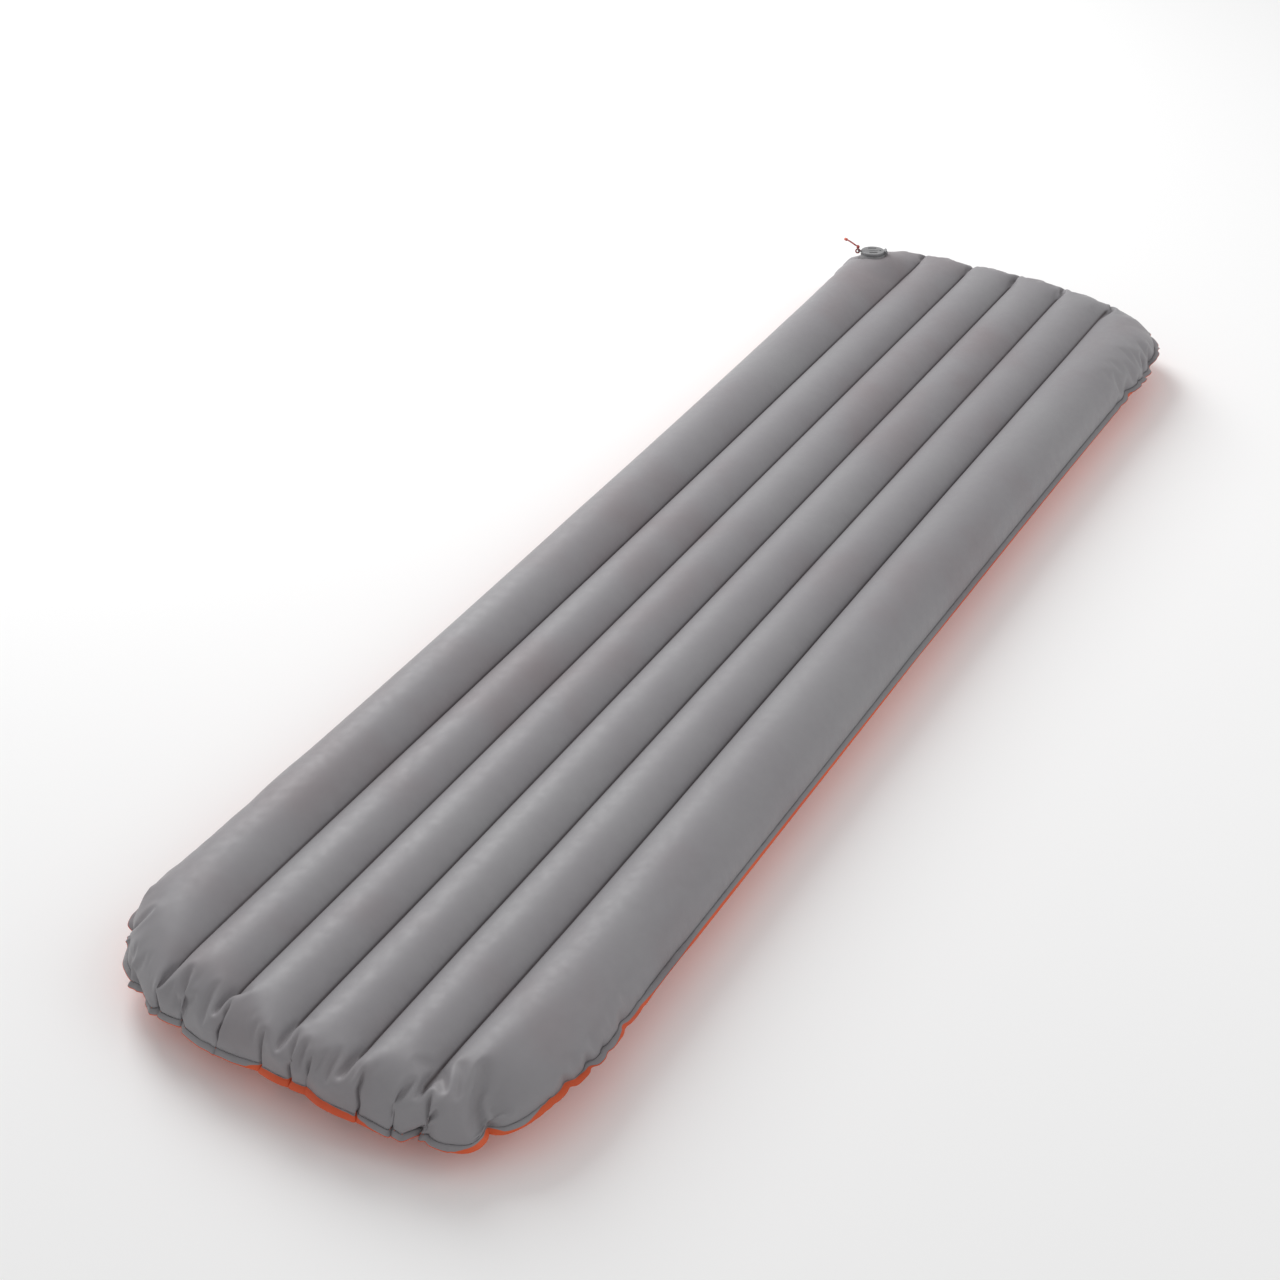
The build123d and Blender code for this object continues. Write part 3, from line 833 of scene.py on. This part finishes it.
def sheet_material(name, body, shade, high):
    """Coated fabric, welded and bonded, that varies slowly between three tones."""
    m = Nodes(name)
    uv = m.node("ShaderNodeUVMap", uv_map="cut").outputs["UV"]
    place = m.place()
    groove, weld = m.attribute("groove"), m.attribute("weld")
    cloud = m.noise(place, scale=6.0, detail=4.0)
    mottle = m.noise(place, scale=90.0)
    base = m.ramp(cloud, [(0.3, shade), (0.5, body), (0.75, high)])
    base = m.mix(m.span(mottle, 0.3, 0.7, 0.0, 0.10), base, toned(body, 0.78))
    # painted shade: the valleys over the heat-bonded lines are darkened strongly, and the weld a
    # little
    groove_shade = m.span(groove, 0.66, 0.97, 0.0, 0.95)
    weld_shade = m.span(weld, 0.8, 1.0, 0.0, 0.08)
    painted_crease_shade = m.math("MAXIMUM", groove_shade, weld_shade)
    base = m.mix(painted_crease_shade, base, toned(body, (0.14, 0.10, 0.10)))
    # painted shade: the bottoms of the pleats, found by their concavity, are darkened too
    pleat_shade = m.span(m.hollows(), 0.40, 0.488, 0.75, 0.0)
    base = m.mix(pleat_shade, base, toned(body, (0.30, 0.22, 0.23)))
    # plain weave: two sets of threads, crossing
    threads = 420.0
    weave = m.math("MULTIPLY", m.wave(uv, threads, "X"), m.wave(uv, threads, "Y"))
    base = m.mix(m.span(weave, 0.0, 1.0, 0.10, 0.0), base, toned(body, 0.55))
    rough = m.span(mottle, 0.3, 0.7, 0.45, 0.56)
    # slow unevenness, small puckers beside the bonded lines, grain and thread
    stretch = m.node("ShaderNodeMapping")
    stretch.inputs["Scale"].default_value = (0.35, 1.0, 1.0)
    m.link(uv, stretch.inputs["Vector"])
    pucker = m.noise(stretch.outputs["Vector"], scale=75.0, rough=0.6)
    near_groove, near_weld = m.math("MULTIPLY", groove, 0.8), m.math("MULTIPLY", weld, 0.9)
    puckers = m.math("MULTIPLY", pucker, m.math("MAXIMUM", near_groove, near_weld))
    normal = m.bump(m.noise(place, scale=14.0, detail=2.0), strength=0.25, distance=0.004)
    normal = m.bump(puckers, strength=0.8, distance=0.0026, under=normal)
    grain = m.noise(place, scale=900.0, detail=2.0)
    normal = m.bump(grain, strength=0.12, distance=0.0002, under=normal)
    normal = m.bump(weave, strength=0.35, distance=0.00012, under=normal)
    m.paint(base, rough, normal)
    m.set(Specular_IOR_Level=0.42, Sheen_Weight=0.10, Sheen_Roughness=0.45)
    return m.mat


def plastic_material(name, colour, rough, grain=260.0, highlight_strength=0.25):
    """Moulded plastic or rubber, with a painted highlight that lightens its convex edges."""
    m = Nodes(name)
    place = m.place()
    speck = m.noise(place, scale=grain * 4, detail=2.0)
    cloud = m.noise(place, scale=grain * 0.4)
    base = m.ramp(cloud, [(0.3, toned(colour, 0.88)), (0.7, toned(colour, 1.1))])
    # painted highlight: the convex edges are made lighter
    painted_highlight_mix = m.span(m.hollows(), 0.52, 0.60, 0.0, highlight_strength)
    base = m.mix(painted_highlight_mix, base, toned(colour, 1.9, plus=0.03))
    normal = m.bump(cloud, strength=0.15, distance=0.0003)
    normal = m.bump(speck, strength=0.25, distance=0.00012, under=normal)
    m.paint(base, m.span(speck, 0.3, 0.7, rough - 0.08, rough + 0.08), normal)
    return m.mat


def cord_material(name, red, dark, scale):
    """Braided sheath: crossing strands, with a dark fleck in one of them."""
    m = Nodes(name)
    place = m.place()
    strand = m.wave(place, scale, "DIAGONAL", distortion=1.5)
    fleck = m.noise(place, scale=scale * 2.2, detail=1.0)
    base = m.mix(m.span(fleck, 0.50, 0.58, 0.0, 1.0), red, dark)
    base = m.mix(m.span(strand, 0.0, 1.0, 0.45, 0.0), base, toned(red, 0.35))
    rough = m.span(fleck, 0.2, 0.8, 0.65, 0.85)
    m.paint(base, rough, m.bump(strand, strength=0.8, distance=0.0004))
    m.set(Sheen_Weight=0.25)
    return m.mat


def film_material(name, colour):
    """Thin coated film, slightly crinkled."""
    m = Nodes(name)
    place = m.place()
    cloud = m.noise(place, scale=40.0, detail=4.0)
    crinkle = m.noise(place, scale=300.0, detail=2.0)
    base = m.ramp(cloud, [(0.3, toned(colour, 0.85)), (0.7, colour)])
    rough = m.span(cloud, 0.2, 0.8, 0.5, 0.7)
    m.paint(base, rough, m.bump(crinkle, strength=0.3, distance=0.0004))
    return m.mat


def steel_material(name, dark, light):
    """Drawn steel with a fine grain."""
    m = Nodes(name)
    grain = m.noise(m.place(), scale=900.0, detail=2.0)
    base = m.ramp(grain, [(0.3, dark), (0.7, light)])
    rough = m.span(grain, 0.2, 0.8, 0.28, 0.42)
    m.paint(base, rough, m.bump(grain, strength=0.2, distance=0.0001))
    m.set(Metallic=1.0)
    return m.mat


def dress(o, material):
    """Gives an object one material in every slot."""
    slots = o.data.materials
    if not slots:
        slots.append(material)
    for i in range(len(slots)):
        slots[i] = material


grey = sheet_material(
    "grey_laminate",
    body=(0.262, 0.252, 0.265), shade=(0.240, 0.213, 0.223), high=(0.282, 0.277, 0.287),
)
orange = sheet_material(
    "orange_laminate",
    body=(0.72, 0.105, 0.028), shade=(0.62, 0.08, 0.024), high=(0.78, 0.13, 0.035),
)
lid = plastic_material("lid_grey", (0.20, 0.20, 0.205), rough=0.45)
plug = plastic_material("plug_grey", (0.13, 0.13, 0.135), rough=0.5)
housing = plastic_material("valve_body_grey", (0.23, 0.23, 0.235), rough=0.5)
seal = plastic_material("seal_black", (0.02, 0.02, 0.02), rough=0.6, grain=400.0, highlight_strength=0.05)
flap = plastic_material(
    "diaphragm_silicone", (0.45, 0.43, 0.40), rough=0.4, grain=300.0, highlight_strength=0.05
)
tip = plastic_material("sleeve_orange", (0.62, 0.12, 0.07), rough=0.5)
red_cord = cord_material("cord_red_braid", (0.50, 0.045, 0.03), (0.10, 0.008, 0.012), 260.0)
white_film = film_material("baffle_film_white", (0.72, 0.71, 0.68))
steel = steel_material("pin_steel", dark=(0.42, 0.42, 0.43), light=(0.6, 0.6, 0.61))
NODE_LOOKS = {
    "inflate_cap": lid, "deflate_plug": plug, "valve_body": housing, "valve_spider": housing,
    "valve_flange": plug, "plug_seal": seal, "cap_seal": seal, "check_diaphragm": flap,
    "diaphragm_stud": flap, "plug_hinge_pin": steel, "cap_hinge_pin": steel,
    "pull_cord_loop": red_cord, "pull_cord_knot": red_cord, "pull_cord_end": tip,
}
for node, look in NODE_LOOKS.items():
    dress(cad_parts[node], look)
dress(top, grey)
dress(bottom, orange)
dress(cord, red_cord)
for film in films:
    dress(film, white_film)

# ------------------------------------------------------------------------------------------
# Floor, light and camera
# ------------------------------------------------------------------------------------------
FLOOR = 8                 # from its middle to its sides
WORLD_LIGHT = 0.58
corners = [(-FLOOR, -FLOOR, 0), (FLOOR, -FLOOR, 0), (FLOOR, FLOOR, 0), (-FLOOR, FLOOR, 0)]
floor = new_object("studio_floor", corners, [(0, 1, 2, 3)])
pale = Nodes("studio_white")
pale.set(Base_Color=(0.9, 0.9, 0.9, 1), Roughness=0.9)
dress(floor, pale.mat)

world = bpy.data.worlds.new("studio")
bpy.context.scene.world = world
world.use_nodes = True
background = world.node_tree.nodes["Background"]
background.inputs["Color"].default_value = (1, 1, 1, 1)
background.inputs["Strength"].default_value = WORLD_LIGHT
# The photograph's floor is pure white, which the default transform would turn grey.
bpy.context.scene.view_settings.view_transform = "Standard"


def softbox(name, place, aim, power, size, size_y):
    """A rectangular area light that faces a point."""
    light = bpy.data.lights.new(name, "AREA")
    light.shape = "RECTANGLE"
    light.energy, light.size, light.size_y = power, size, size_y
    o = bpy.data.objects.new(name, light)
    bpy.context.collection.objects.link(o)
    o.location = place
    o.rotation_euler = (Vector(aim) - Vector(place)).to_track_quat("-Z", "Y").to_euler()


softbox("key", place=(-2.6, 1.4, 2.4), aim=(0, 0.1, 0), power=98, size=1.6, size_y=2.6)
softbox("fill", place=(3.0, 1.0, 2.8), aim=(0.3, 0.2, 0), power=26, size=2.4, size_y=2.4)

# The camera, fitted to the photograph's straight welds and valleys: its axes and place
RIGHT = Vector((0.85611, 0.51679, 0.00095))
DOWN = Vector((0.31854, -0.52624, -0.78842))
AHEAD = Vector((-0.40695, 0.67528, -0.61514))
CAMERA_AT = Vector((0.9673, -1.8357, 1.5840))
cam = bpy.data.cameras.new("camera")
cam.sensor_width = 36
cam.lens = 57.63
cam.clip_end = 50
camera = bpy.data.objects.new("camera", cam)
bpy.context.collection.objects.link(camera)
bpy.context.scene.camera = camera
pose = Matrix.Identity(4)
for i in range(3):
    pose[i][0], pose[i][1], pose[i][2] = RIGHT[i], -DOWN[i], -AHEAD[i]
pose.translation = CAMERA_AT
camera.matrix_world = pose
